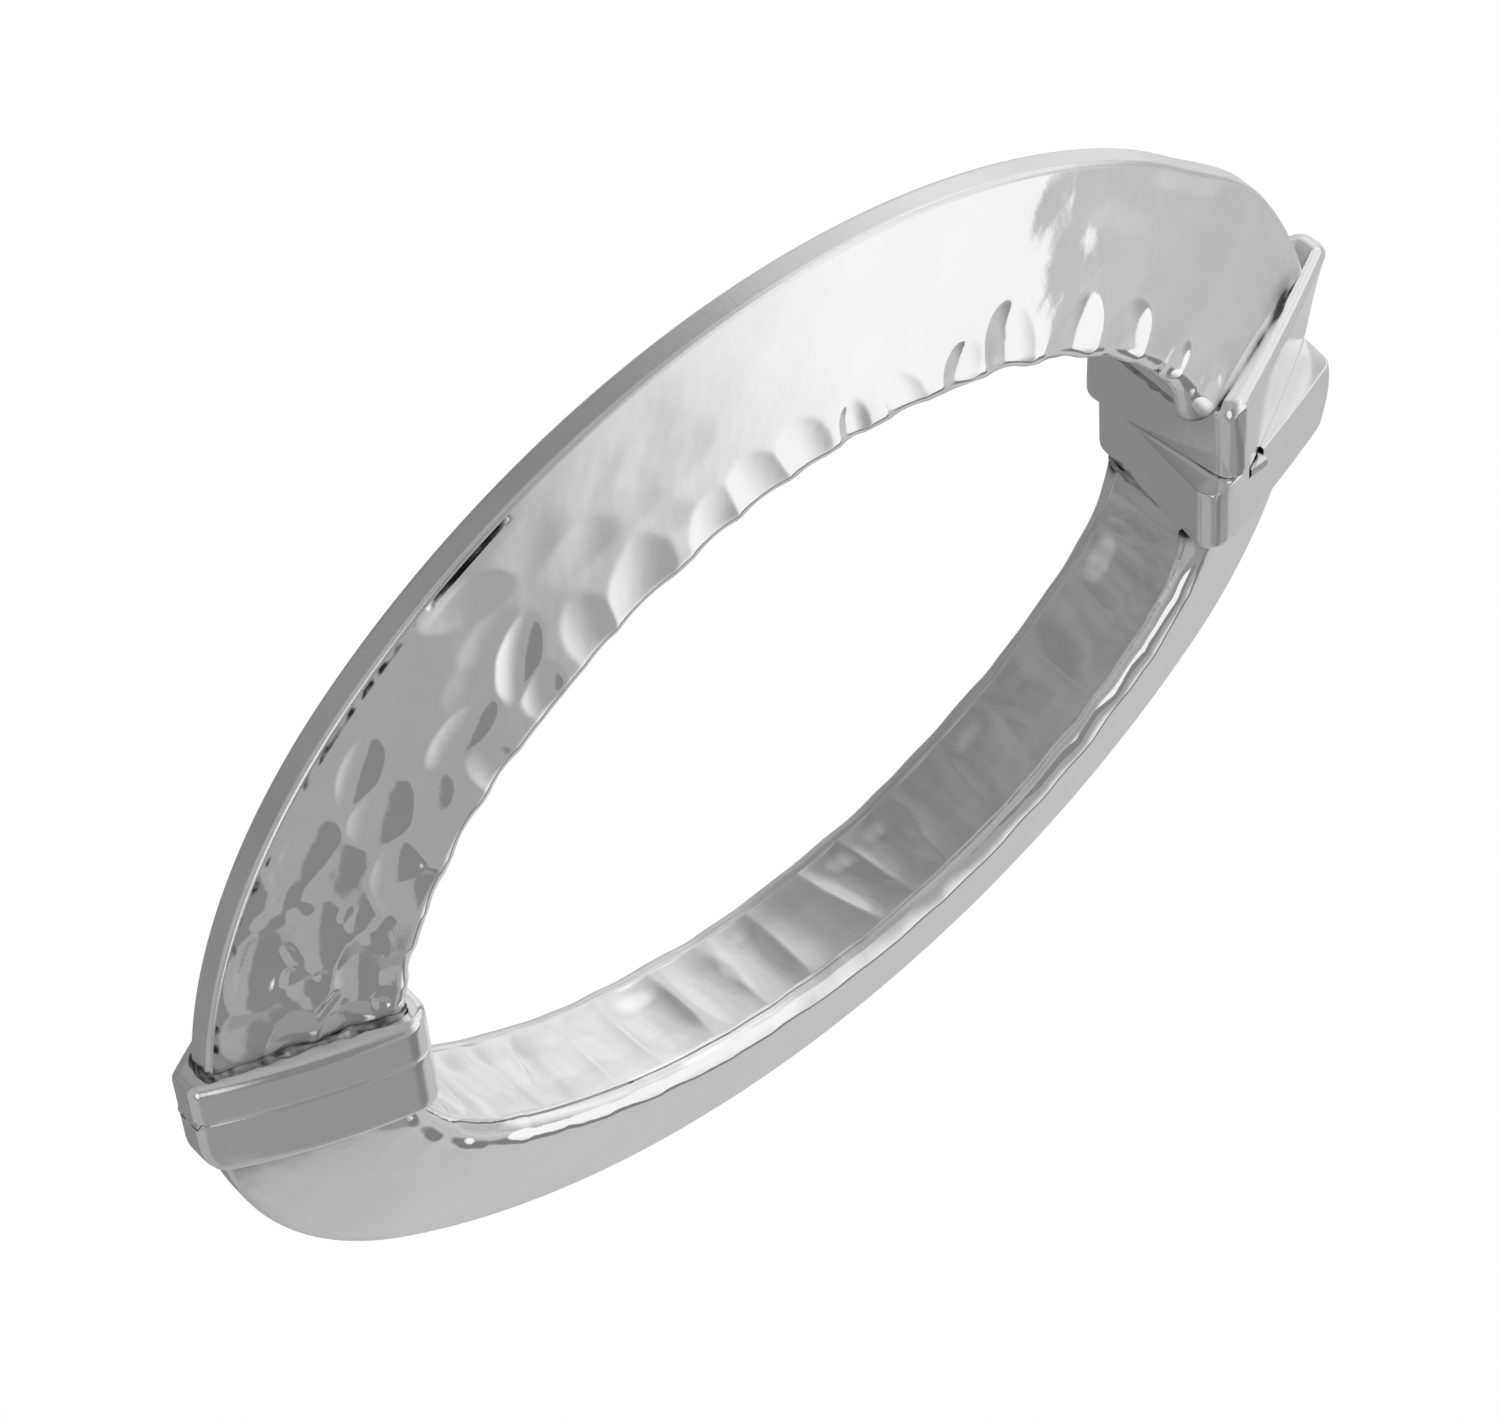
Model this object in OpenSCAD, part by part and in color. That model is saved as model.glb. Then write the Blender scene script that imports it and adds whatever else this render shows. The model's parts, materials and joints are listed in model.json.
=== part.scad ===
// Hinged oval bangle in hollow silver sheet, with a concealed hinge and a box and tongue clasp.
// Lengths are in millimetres. The bangle lies flat with Z up, the hinge at +X and the clasp at -X.
// The tongue half is on the -Y side and the box half is on the +Y side.

/* [Ring] */
// Wrist opening along its long axis, between the two inner bands
opening_length = 60; // [58:0.5:64]
// Depth of the tongue half's inner band from the ring's long axis
tongue_half_depth = 25.2; // [24.6:0.1:26]
// Inner radius of the tongue half's two end arcs
tongue_end_radius = 22.8; // [20:0.1:23.5]
// Depth of the box half's inner band from the ring's long axis
box_half_depth = 20.5; // [20:0.1:22]
// Inner radius of the box half's two end arcs
box_end_radius = 15.3; // [14.5:0.1:16.5]
// Distance from the joint plane to the ring's long axis, towards the box half
ring_offset = 1.45; // [1:0.05:1.8]
// Angle between the ring's long axis and the line through the two joints
ring_turn = 2.1; // [1.5:0.1:2.5]

/* [Section] */
// Width of the section across the inner band
band_width = 9.7; // [9.2:0.1:10]
// Width of the outer rim
rim_width = 1.6; // [1.5:0.1:1.9]
// Height of the section from the inner band to the rim
section_height = 10.9; // [10.6:0.1:11]
// Thickness of the sloping side sheets
side_sheet = 0.6; // [0.5:0.05:0.65]
// Thickness of the inner band
band_sheet = 0.7; // [0.6:0.05:0.9]
// Thickness of the rim strip
rim_sheet = 0.45; // [0.4:0.05:0.6]

/* [Collars] */
// Length of the tongue half's hinge collar along the ring
tongue_hinge_length = 3.2; // [3:0.1:4]
// Length of the box half's hinge collar along the ring
box_hinge_length = 5; // [4:0.1:5.5]
// Length of the tongue half's clasp collar along the ring
tongue_clasp_length = 6.5; // [6:0.1:7]
// Length of the box half's clasp collar along the ring
box_clasp_length = 5.2; // [4.8:0.1:5.5]
// Distance from the middle of the bangle to the outer end of three of the collars
collar_outer = 41.9; // [41.7:0.1:42.2]
// The same distance for the tongue half's clasp collar, which bulges outwards
clasp_bulge_outer = 43.7; // [43.5:0.1:44]
// Thickness of the collar walls
collar_wall = 1; // [0.9:0.05:1.1]
// Thickness of the end plates
plate_thickness = 1; // [0.9:0.05:1.1]
// Gap between the two halves at each joint
seam_gap = 0.06; // [0.04:0.01:0.1]
// Turn of the tongue half's clasp collar about the line of the ring
tongue_clasp_twist = -7.4; // [-8:0.1:-6]
// Turn of the box half's clasp collar about the line of the ring
box_clasp_twist = 6; // [5:0.1:7]
// Height of the bangle over the small flats that it lies on
overall_height = 11.4; // [11.2:0.05:11.4]

/* [Hinge] */
// Outer radius of the knuckles
knuckle_radius = 0.8; // [0.75:0.01:0.85]
// Half the height of the hinge
knuckle_half = 0.8; // [0.75:0.01:0.85]
// Radius of the hinge pin
pin_radius = 0.3; // [0.25:0.01:0.35]
// Radial clearance of the pin in the middle knuckle
pin_clearance = 0.05; // [0.03:0.01:0.08]
// Half the length of the middle knuckle
middle_knuckle_half = 0.27; // [0.24:0.01:0.3]
// Angle that the box half opens to
opening_angle = 50; // [40:1:52]

/* [Clasp] */
// Distance from the middle of the bangle to the middle of the tongue
tongue_x = 33.1; // [33:0.05:33.2]
// Width of the tongue
tongue_width = 3.4; // [3:0.1:3.5]
// Length of the tongue beyond the joint plane
tongue_length = 6.4; // [6:0.1:6.5]
// Thickness of the tongue's fixed leaf
base_leaf = 0.45; // [0.4:0.01:0.45]
// Thickness of the tongue's sprung leaf
spring_leaf = 0.4; // [0.35:0.01:0.42]
// Width of the thumb tab
tab_width = 1.3; // [1.2:0.1:1.5]
// Height of the top of the thumb tab above the middle of the section
tab_top = 5.4; // [5.3:0.05:5.5]
// Wall thickness of the catch box
box_wall = 0.35; // [0.3:0.01:0.35]

/* [Hidden] */
$fn = 96;
ring_facets = 288;
tiny = 0.01;
big = 60;
TONGUE = -1;
BOX = 1;
HINGE = 1;
CLASP = -1;

long_semi = opening_length / 2;
half_land = overall_height / 2;
section_slope = atan((band_width - rim_width) / 2 / section_height);
sheet_drop = side_sheet / cos(section_slope);
rim_floor = section_height - rim_sheet;
end_arc_lap = 14;
join_lap = 0.2;
join_step = 0.01;

hinge_inner = 28.6;
tongue_clasp_inner = 29.7;
box_clasp_inner = 29.2;
hinge_outer_half = 1;
tongue_clasp_outer_half = 0.97;
box_clasp_outer_half = 1.34;
twist_pivot = 29.5;
collar_slope = 21.7;
inner_corner = 1.1;
outer_corner = 0.35;
hinge_round = 3.6;
hinge_round_back = 2.5;
tongue_clasp_round = 6.3;
tongue_clasp_round_y = 4.3;
box_clasp_round = 6.3;
box_clasp_round_y = 1.5;
hinge_outer_wall = 2.6;
clasp_outer_wall = 1.6;
hinge_hollow_half = 0.95;
clasp_hollow_half = 0.5;
hollow_corner = 0.3;
corner_steps = 10;

hinge_x = collar_outer - knuckle_radius;
knuckle_gap = 0.03;
groove_clearance = 0.06;
relief_angle = opening_angle / 2 + 2;
relief_reach = 2;

leaf_side_room = 0.35;
window_half_height = 1.15;
notch_room = 0.12;
notch_depth = 1.15;
tab_front = 0.4;
tab_thickness = 0.6;
fold_radius = 0.4;
leaf_bottom = -0.95;
leaf_root_gap = 0.03;
leaf_rise = 1.02;
box_end_room = 1;
fold_y = tongue_length - fold_radius;
leaf_root = fold_y - fold_radius - leaf_root_gap;
leaf_low = leaf_bottom + base_leaf + leaf_root_gap;

function mid_radius(depth, end_radius) =
    (long_semi * long_semi + depth * depth - 2 * long_semi * end_radius) / (2 * (depth - end_radius));
function mid_centre(depth, end_radius) = mid_radius(depth, end_radius) - depth;
function join_angle(depth, end_radius) =
    atan2(mid_centre(depth, end_radius), long_semi - end_radius);
function far_edge(depth, end_radius) =
    mid_radius(depth, end_radius) + section_height - mid_centre(depth, end_radius) * cos(ring_turn);

front_edge = ring_offset - far_edge(tongue_half_depth, tongue_end_radius);
back_edge = ring_offset + far_edge(box_half_depth, box_end_radius);
middle_y = (front_edge + back_edge) / 2;
middle_x = (collar_outer - clasp_bulge_outer) / 2;

function half_width(height) = band_width / 2 - height * tan(section_slope);
function side_section() =
    [[0, half_width(0) - sheet_drop], [rim_floor, half_width(rim_floor) - sheet_drop],
     [rim_floor, half_width(rim_floor)], [0, half_width(0)]];
function band_section() =
    let (low = half_width(0) - sheet_drop, high = half_width(band_sheet) - sheet_drop)
    [[0, -low], [band_sheet, -high], [band_sheet, high], [0, low]];
function rim_section() =
    let (low = half_width(rim_floor))
    [[rim_floor, -low], [section_height, -rim_width / 2],
     [section_height, rim_width / 2], [rim_floor, low]];
// Moves every edge of an anticlockwise outline inwards
function inset(points, distance) =
    let (n = len(points))
    [for (i = [0 : n - 1]) let (
        before = points[i] - points[(i + n - 1) % n],
        after = points[(i + 1) % n] - points[i],
        u = before / norm(before),
        v = after / norm(after))
        points[i] + distance * (v - u) / cross(u, v)];
function arc_points(centre, radius, from, to) =
    [for (i = [0 : corner_steps]) let (a = from + (to - from) * i / corner_steps)
        centre + radius * [cos(a), sin(a)]];
function upper_corner(end, side_half, radius, direction, from, to) =
    arc_points([end + direction * radius,
                side_half - direction * radius * tan(collar_slope) - radius / cos(collar_slope)],
               radius, from, to);
function reversed_mirror(points) =
    [for (i = [len(points) - 1 : -1 : 0]) [points[i][0], -points[i][1]]];
// Trapezoid with rounded corners, from near end u0 to far end u1, where its half width is far_half
function trapezoid(u0, u1, far_half, inner_r, outer_r) =
    let (upper = concat(
            upper_corner(u0, far_half + (u1 - u0) * tan(collar_slope), inner_r, 1,
                         180, 90 - collar_slope),
            upper_corner(u1, far_half, outer_r, -1, 90 - collar_slope, 0)))
    concat(upper, reversed_mirror(upper));

// Puts the bangle on the ground with its bounding box centred over the origin
module place() {
    translate([-middle_x, -middle_y, half_land]) children();
}

module flip_y(side) {
    if (side < 0) mirror([0, 1, 0]) children();
    else children();
}

module flip_x(end) {
    if (end < 0) mirror([1, 0, 0]) children();
    else children();
}

// ---- Half rings: three tangent arcs each ----

module arc_sweep(radius, from, to) {
    rotate([0, 0, from])
        rotate_extrude(angle = to - from, $fn = ring_facets)
            translate([radius, 0]) children();
}

// The end arcs run a little way into the middle one, and are drawn slightly smaller than it
module oval_half(depth, end_radius, section) {
    join = join_angle(depth, end_radius);
    end_x = long_semi - end_radius;
    end_section = inset(section, join_step);
    union() {
        translate([end_x, 0, 0]) arc_sweep(end_radius, -end_arc_lap, join + join_lap)
            polygon(end_section);
        translate([0, -mid_centre(depth, end_radius), 0])
            arc_sweep(mid_radius(depth, end_radius), join, 180 - join) polygon(section);
        translate([-end_x, 0, 0]) arc_sweep(end_radius, 180 - join - join_lap, 180 + end_arc_lap)
            polygon(end_section);
    }
}

// The space between one half's two collars
module between_collars(hinge_length, clasp_length) {
    translate([0, hinge_length, -big / 2]) cube([big, big, big]);
    translate([-big, clasp_length, -big / 2]) cube([big, big, big]);
}

module half_ring(side, section) {
    depth = side == TONGUE ? tongue_half_depth : box_half_depth;
    end_radius = side == TONGUE ? tongue_end_radius : box_end_radius;
    hinge_length = side == TONGUE ? tongue_hinge_length : box_hinge_length;
    clasp_length = side == TONGUE ? tongue_clasp_length : box_clasp_length;
    intersection() {
        translate([0, ring_offset, 0]) rotate([0, 0, ring_turn])
            flip_y(side) oval_half(depth, end_radius, section);
        flip_y(side) between_collars(hinge_length, clasp_length);
    }
}

module top_sheet(side) {
    color("gainsboro") place() half_ring(side, side_section());
}

module bottom_sheet(side) {
    color("gainsboro") place() mirror([0, 0, 1]) half_ring(side, side_section());
}

module inner_band(side) {
    color("silver") place() half_ring(side, band_section());
}

module rim_strip(side) {
    color("lightgray") place() half_ring(side, rim_section());
}

// ---- Collars and end plates ----

function end_inner(side, end) =
    end == HINGE ? hinge_inner : side == TONGUE ? tongue_clasp_inner : box_clasp_inner;
function end_outer(side, end) = side == TONGUE && end == CLASP ? clasp_bulge_outer : collar_outer;
function end_outer_half(side, end) =
    end == HINGE ? hinge_outer_half : side == TONGUE ? tongue_clasp_outer_half : box_clasp_outer_half;
function end_twist(side, end) =
    end == HINGE ? 0 : side == TONGUE ? tongue_clasp_twist : box_clasp_twist;
function end_length(side, end) =
    end == HINGE ? (side == TONGUE ? tongue_hinge_length : box_hinge_length)
                 : (side == TONGUE ? tongue_clasp_length : box_clasp_length);

function round_radius(side, end) =
    end == HINGE ? hinge_round : side == TONGUE ? tongue_clasp_round : box_clasp_round;
function round_y(side, end) =
    end == HINGE ? (side == TONGUE ? tongue_hinge_length : box_hinge_length - hinge_round_back)
                 : (side == TONGUE ? tongue_clasp_round_y : box_clasp_round_y);

// Runs a flat outline away from the joint plane, from one distance to another
module run_along(side, end, from, to) {
    flip_x(end) flip_y(side)
        translate([0, to, 0]) rotate([90, 0, 0]) linear_extrude(to - from) children();
}

// Turns the outside of a collar about the line of the ring, at its inner end
module twisted(side, end) {
    translate([end * twist_pivot, 0, 0]) rotate([0, end_twist(side, end), 0])
        translate([-end * twist_pivot, 0, 0]) children();
}

module collar_outline(side, end) {
    polygon(trapezoid(end_inner(side, end), end_outer(side, end), end_outer_half(side, end),
                      inner_corner, outer_corner));
}

// The hollow follows the inside of the sheets, so it isn't turned with the collar
module hollow_outline(side, end) {
    outer_wall = end == HINGE ? hinge_outer_wall : clasp_outer_wall;
    far_half = end == HINGE ? hinge_hollow_half : clasp_hollow_half;
    polygon(trapezoid(end_inner(side, end) + collar_wall, collar_outer - outer_wall, far_half,
                      hollow_corner, hollow_corner));
}

// Slab between the two planes that the bangle lies on, either way up
module land_slab() {
    translate([-big, -big, -half_land]) cube([2 * big, 2 * big, 2 * half_land]);
}

// Everything inside the rounded outer end of a collar, seen from above. Only the back corner
// of a hinge collar is rounded.
module rounded_plan(side, end) {
    radius = round_radius(side, end);
    flip_x(end) flip_y(side)
        translate([end_outer(side, end) - radius, round_y(side, end), -big / 2]) {
            cylinder(r = radius, h = big);
            translate([-big, -big, 0]) cube([big, 2 * big, big]);
            if (end == HINGE) translate([-tiny, -big, 0]) cube([radius + 2 * tiny, big, big]);
        }
}

module collar_blank(side, end) {
    start = seam_gap / 2;
    length = end_length(side, end);
    intersection() {
        difference() {
            twisted(side, end) run_along(side, end, start, length) collar_outline(side, end);
            run_along(side, end, start - 1, length + 1) hollow_outline(side, end);
        }
        land_slab();
        rounded_plan(side, end);
    }
}

module plate_blank(side, end) {
    start = seam_gap / 2;
    run_along(side, end, start, start + plate_thickness) hollow_outline(side, end);
}

// Room for one half's knuckles: a snug groove for its own and a looser one for the other's
module hinge_groove(side) {
    loose = knuckle_radius + groove_clearance;
    split = middle_knuckle_half + (side == TONGUE ? knuckle_gap : 0);
    room = knuckle_half + knuckle_gap - split;
    translate([hinge_x, 0, 0]) {
        cylinder(r = knuckle_radius, h = 2 * knuckle_half, center = true);
        if (side == TONGUE) cylinder(r = loose, h = 2 * split, center = true);
        else for (z = [split, -split - room]) translate([0, 0, z]) cylinder(r = loose, h = room);
        flip_y(side) translate([0, 0, -big / 2]) linear_extrude(big)
            polygon([[0, -seam_gap], [0, 0], [relief_reach, relief_reach * tan(relief_angle)],
                     [relief_reach, -seam_gap]]);
    }
}

module hinge_collar(side) {
    color("darkgray") place() difference() {
        collar_blank(side, HINGE);
        hinge_groove(side);
    }
}

module end_plate(side, end) {
    color("gray") place() plate_blank(side, end);
}

module tongue_clasp_collar() {
    color("darkgray") place() collar_blank(TONGUE, CLASP);
}

// ---- Hinge ----

// Rounds the knuckles' ends to the outline of the collars
module hinge_envelope() {
    translate([0, knuckle_radius, 0]) rotate([90, 0, 0]) linear_extrude(2 * knuckle_radius)
        collar_outline(TONGUE, HINGE);
}

module knuckle_tube(bottom, top, bore) {
    translate([hinge_x, 0, bottom]) difference() {
        cylinder(r = knuckle_radius, h = top - bottom);
        translate([0, 0, -1]) cylinder(r = bore, h = top - bottom + 2);
    }
}

module tongue_half_knuckles() {
    inner = middle_knuckle_half + knuckle_gap;
    color("gray") place() intersection() {
        union() {
            knuckle_tube(inner, knuckle_half, pin_radius);
            knuckle_tube(-knuckle_half, -inner, pin_radius);
        }
        hinge_envelope();
    }
}

module box_half_knuckle() {
    color("gray") place()
        knuckle_tube(-middle_knuckle_half, middle_knuckle_half, pin_radius + pin_clearance);
}

module hinge_pin() {
    color("dimgray") place()
        translate([hinge_x, 0, 0]) cylinder(r = pin_radius, h = 2 * knuckle_half, center = true);
}

// ---- Clasp ----

module tab_notch() {
    width = tab_width + 2 * notch_room;
    translate([-tongue_x - width / 2, -tiny, 0]) cube([width, notch_depth + tiny, 2 * half_land]);
}

module tongue_space(from, to, grow) {
    width = tongue_width + 2 * leaf_side_room + 2 * grow;
    half_height = window_half_height + grow;
    translate([-tongue_x - width / 2, from, -half_height])
        cube([width, to - from, 2 * half_height]);
}

module box_clasp_collar() {
    color("darkgray") place() difference() {
        collar_blank(BOX, CLASP);
        tab_notch();
    }
}

module box_clasp_plate() {
    color("gray") place() difference() {
        plate_blank(BOX, CLASP);
        tongue_space(-1, plate_thickness + 1, 0);
        tab_notch();
    }
}

module catch_box() {
    front = seam_gap / 2 + plate_thickness;
    back = tongue_length + box_end_room;
    color("lightslategray") place() difference() {
        tongue_space(front, back, box_wall);
        tongue_space(front - 1, back + 1, 0);
        tab_notch();
    }
}

// Runs a side view, drawn as [distance from the joint plane, height], across a width
module across_tongue(width) {
    translate([-tongue_x - width / 2, 0, 0]) rotate([90, 0, 90]) linear_extrude(width) children();
}

module tongue_base() {
    color("lightslategray") place() across_tongue(tongue_width) {
        translate([-seam_gap / 2, leaf_bottom]) square([fold_y + seam_gap / 2, base_leaf]);
        translate([fold_y - fold_radius, leaf_bottom]) square([fold_radius, 2 * fold_radius]);
        translate([fold_y, leaf_bottom + fold_radius]) circle(r = fold_radius);
    }
}

module tongue_spring_leaf() {
    color("lightsteelblue") place() across_tongue(tongue_width)
        polygon([[leaf_root, leaf_low], [leaf_root, leaf_low + spring_leaf],
                 [tab_front, leaf_low + spring_leaf + leaf_rise], [tab_front, leaf_low + leaf_rise]]);
}

module thumb_tab() {
    slope = leaf_rise / (leaf_root - tab_front);
    foot = leaf_low + spring_leaf + leaf_rise;
    color("lightsteelblue") place() across_tongue(tab_width)
        polygon([[tab_front, foot], [tab_front, tab_top], [tab_front + tab_thickness, tab_top],
                 [tab_front + tab_thickness, foot - tab_thickness * slope]]);
}

top_sheet(TONGUE);  // tongue_half_top_sheet
bottom_sheet(TONGUE);  // tongue_half_bottom_sheet
inner_band(TONGUE);  // tongue_half_inner_band
rim_strip(TONGUE);  // tongue_half_rim_strip
hinge_collar(TONGUE);  // tongue_half_hinge_collar
end_plate(TONGUE, HINGE);  // tongue_half_hinge_plate
tongue_clasp_collar();  // tongue_half_clasp_collar
end_plate(TONGUE, CLASP);  // tongue_half_clasp_plate
tongue_half_knuckles();
hinge_pin();
tongue_base();
top_sheet(BOX);  // box_half_top_sheet
bottom_sheet(BOX);  // box_half_bottom_sheet
inner_band(BOX);  // box_half_inner_band
rim_strip(BOX);  // box_half_rim_strip
hinge_collar(BOX);  // box_half_hinge_collar
end_plate(BOX, HINGE);  // box_half_hinge_plate
box_clasp_collar();  // box_half_clasp_collar
box_clasp_plate();  // box_half_clasp_plate
box_half_knuckle();
catch_box();
tongue_spring_leaf();
thumb_tab();
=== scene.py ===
# Hinged oval bangle in hammered silver. Ring shapes are worked out in millimetres and built in metres.
import bpy
import bmesh
import json
import math
import numpy as np
from collections import namedtuple
from mathutils import Matrix, Vector


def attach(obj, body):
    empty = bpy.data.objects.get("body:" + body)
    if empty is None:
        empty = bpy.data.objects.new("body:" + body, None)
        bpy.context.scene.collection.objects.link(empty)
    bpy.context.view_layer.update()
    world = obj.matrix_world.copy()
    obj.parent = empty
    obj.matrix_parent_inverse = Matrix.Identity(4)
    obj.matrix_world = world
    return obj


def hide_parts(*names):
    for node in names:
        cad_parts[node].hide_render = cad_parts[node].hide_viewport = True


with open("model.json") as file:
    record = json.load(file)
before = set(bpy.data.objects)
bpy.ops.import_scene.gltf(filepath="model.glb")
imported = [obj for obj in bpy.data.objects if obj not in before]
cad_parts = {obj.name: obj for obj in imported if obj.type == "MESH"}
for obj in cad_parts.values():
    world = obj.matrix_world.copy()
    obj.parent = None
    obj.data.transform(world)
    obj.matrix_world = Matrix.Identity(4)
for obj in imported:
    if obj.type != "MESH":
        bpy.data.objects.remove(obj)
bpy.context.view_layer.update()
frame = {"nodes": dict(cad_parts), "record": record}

MM = 0.001
TONGUE, BOX = -1, 1
HINGE, CLASP = 1, -1

# ---- Sizes, as in the CAD, in millimetres ----

# The inner band's half width along the joint plane, its depth away from it and the radius of its ends
LONG_SEMI = 30.0
DEPTH = {TONGUE: 25.2, BOX: 20.5}
END_RADIUS = {TONGUE: 22.8, BOX: 15.3}
# How the ring sits across the joint plane
RING_OFFSET = 1.45
RING_TURN = math.radians(2.1)
# The section: half its height at the inner band and at the rim, and its depth between them
HALF_BAND = 4.85
HALF_RIM = 0.8
HEIGHT = 10.9
SLOPE = math.atan((HALF_BAND - HALF_RIM) / HEIGHT)
# Middle of the joint plane in the frame, and half the height of the collars' flats, on which the bangle lies
SEAM_X = 0.9
SEAM_Y = 0.897
MID_Z = 5.7
HALF_LAND = 5.7
COLLAR_LENGTH = {(TONGUE, HINGE): 3.2, (BOX, HINGE): 5.0, (TONGUE, CLASP): 6.5, (BOX, CLASP): 5.2}
SHEET = 0.6
BODY = {TONGUE: "tongue_half", BOX: "box_half"}


# ---- Camera, from a fit of the ring's outline ----

CAMERA_AZIMUTH = math.radians(25.31)
CAMERA_ELEVATION = math.radians(29.96)
CAMERA_ROLL = math.radians(131.64)
CAMERA_DISTANCE = 320.19 * MM
LENS = 134.52
SENSOR = 36.0
# As parts of the picture's width
SHIFT = (-0.0150667, -0.00082)


def make_camera():
    azimuth, elevation, roll = CAMERA_AZIMUTH, CAMERA_ELEVATION, CAMERA_ROLL
    level = math.cos(elevation)
    back = Vector((math.sin(azimuth) * level, -math.cos(azimuth) * level, math.sin(elevation)))
    right = Vector((math.cos(azimuth), math.sin(azimuth), 0))
    up = back.cross(right)
    camera_x = math.cos(roll) * right + math.sin(roll) * up
    camera_y = -math.sin(roll) * right + math.cos(roll) * up
    data = bpy.data.cameras.new("camera")
    data.sensor_width = SENSOR
    data.lens = LENS
    data.shift_x, data.shift_y = SHIFT
    data.clip_start = 0.01
    data.clip_end = 20
    camera = bpy.data.objects.new("camera", data)
    bpy.context.scene.collection.objects.link(camera)
    place = Vector((SEAM_X * MM, SEAM_Y * MM, MID_Z * MM)) + back * CAMERA_DISTANCE
    axes = Matrix((camera_x, camera_y, back)).transposed().to_4x4()
    camera.matrix_world = Matrix.Translation(place) @ axes
    bpy.context.scene.camera = camera


make_camera()


# ---- The ring's curve: three tangent arcs for each half, the near one spreading towards the clasp ----

SPREAD = {TONGUE: 0.95, BOX: 0.0}
SPREAD_FROM = math.radians(137)
SPREAD_LENGTH = math.radians(16)


def smooth(t):
    t = np.clip(t, 0, 1)
    return t * t * (3 - 2 * t)


def ring_curve(side, angle, height):
    """x and y on one half at these outward angles, this far out from the inner band."""
    depth, r_end = DEPTH[side], END_RADIUS[side]
    r_mid = (LONG_SEMI ** 2 + depth ** 2 - 2 * LONG_SEMI * r_end) / (2 * (depth - r_end))
    drop = r_mid - depth
    end_x = LONG_SEMI - r_end
    join = math.atan2(drop, end_x)
    near_end = angle < join
    far_end = angle > math.pi - join
    centre_x = np.where(near_end, end_x, np.where(far_end, -end_x, 0.0))
    centre_y = np.where(near_end | far_end, 0.0, -drop)
    spread = 1 + SPREAD[side] * smooth((angle - SPREAD_FROM) / SPREAD_LENGTH) / HEIGHT
    radius = np.where(near_end | far_end, r_end, r_mid) + height * spread
    x = centre_x + radius * np.cos(angle)
    y = (centre_y + radius * np.sin(angle)) * side
    c, s = math.cos(RING_TURN), math.sin(RING_TURN)
    return c * x - s * y, s * x + c * y + RING_OFFSET


# Angles past each end of a half that are still followed, and steps over the whole stretch
LENGTH_MARGIN, LENGTH_STEPS = 0.3, 4000
END_MARGIN, END_STEPS = 0.4, 6000


def arc_lengths(side, angles):
    """Length along the inner band from the hinge end to each angle."""
    fine = np.linspace(-LENGTH_MARGIN, math.pi + LENGTH_MARGIN, LENGTH_STEPS + 1)
    x, y = ring_curve(side, fine, np.zeros_like(fine))
    length = np.concatenate([[0], np.cumsum(np.hypot(np.diff(x), np.diff(y)))])
    length -= np.interp(0.0, fine, length)
    return np.interp(angles, fine, length)


def end_angles(side, height, back_off=0.0):
    """Outward angles where a line at this height meets the backs of the two collars."""
    angles = np.linspace(-END_MARGIN, math.pi + END_MARGIN, END_STEPS + 1)
    _, y = ring_curve(side, angles, np.full_like(angles, height))
    away = y * side
    half = len(angles) // 2
    start = np.interp(COLLAR_LENGTH[side, HINGE] + back_off, away[:half], angles[:half])
    stop = np.interp(-(COLLAR_LENGTH[side, CLASP] + back_off), -away[half:], angles[half:])
    return start, stop


# ---- Section outline ----

EDGE_RADIUS = {TONGUE: 0.85, BOX: 1.25}
RIDGE_RADIUS = 0.42
WRIST_EDGE_STEPS = 16
RIDGE_STEPS = 8
FACE_STEPS = 84
BAND_STEPS = 63
RIM_STEPS = 12


def round_corner(corner, before, after, radius, steps):
    """Points and outward normals of an arc that rounds the corner between two directions."""
    turn = math.atan2(before[0] * after[1] - before[1] * after[0],
                      before[0] * after[0] + before[1] * after[1])
    reach = radius * math.tan(abs(turn) / 2)
    start = np.array(corner) - reach * np.array(before)
    left = np.array([-before[1], before[0]]) * (1 if turn > 0 else -1)
    centre = start + radius * left
    first = math.atan2(*(start - centre)[::-1])
    out = []
    for i in range(steps + 1):
        a = first + turn * i / steps
        normal = np.array([math.cos(a), math.sin(a)])
        out.append((centre + radius * normal, normal))
    return out


def mirrored(profile):
    """The same stretch of outline on the bottom face, run the other way."""
    return [(point * [1, -1], normal * [1, -1]) for point, normal in reversed(profile)]


def section_profile(side, part):
    """(height, z) points and normals of one sheet's outside: the band, the top face or the rim."""
    slope_way = np.array([math.cos(SLOPE), -math.sin(SLOPE)])
    face_normal = np.array([math.sin(SLOPE), math.cos(SLOPE)])
    edge = round_corner((0, HALF_BAND), (0, 1), slope_way, EDGE_RADIUS[side], WRIST_EDGE_STEPS)
    ridge = round_corner((HEIGHT, HALF_RIM), slope_way, (0, -1), RIDGE_RADIUS, RIDGE_STEPS)
    if part == "band":
        top = edge[0][0][1]
        inwards = np.array([-1.0, 0.0])
        return [(np.array([0, z]), inwards) for z in np.linspace(-top, top, BAND_STEPS + 1)]
    if part == "face":
        first, last = edge[-1][0], ridge[0][0]
        line = [(first + (last - first) * i / FACE_STEPS, face_normal) for i in range(1, FACE_STEPS + 1)]
        return edge + line
    low = ridge[-1][0][1]
    outwards = np.array([1.0, 0.0])
    line = [(np.array([HEIGHT, z]), outwards) for z in np.linspace(low, -low, RIM_STEPS + 1)[1:-1]]
    return ridge + line + mirrored(ridge)


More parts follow.
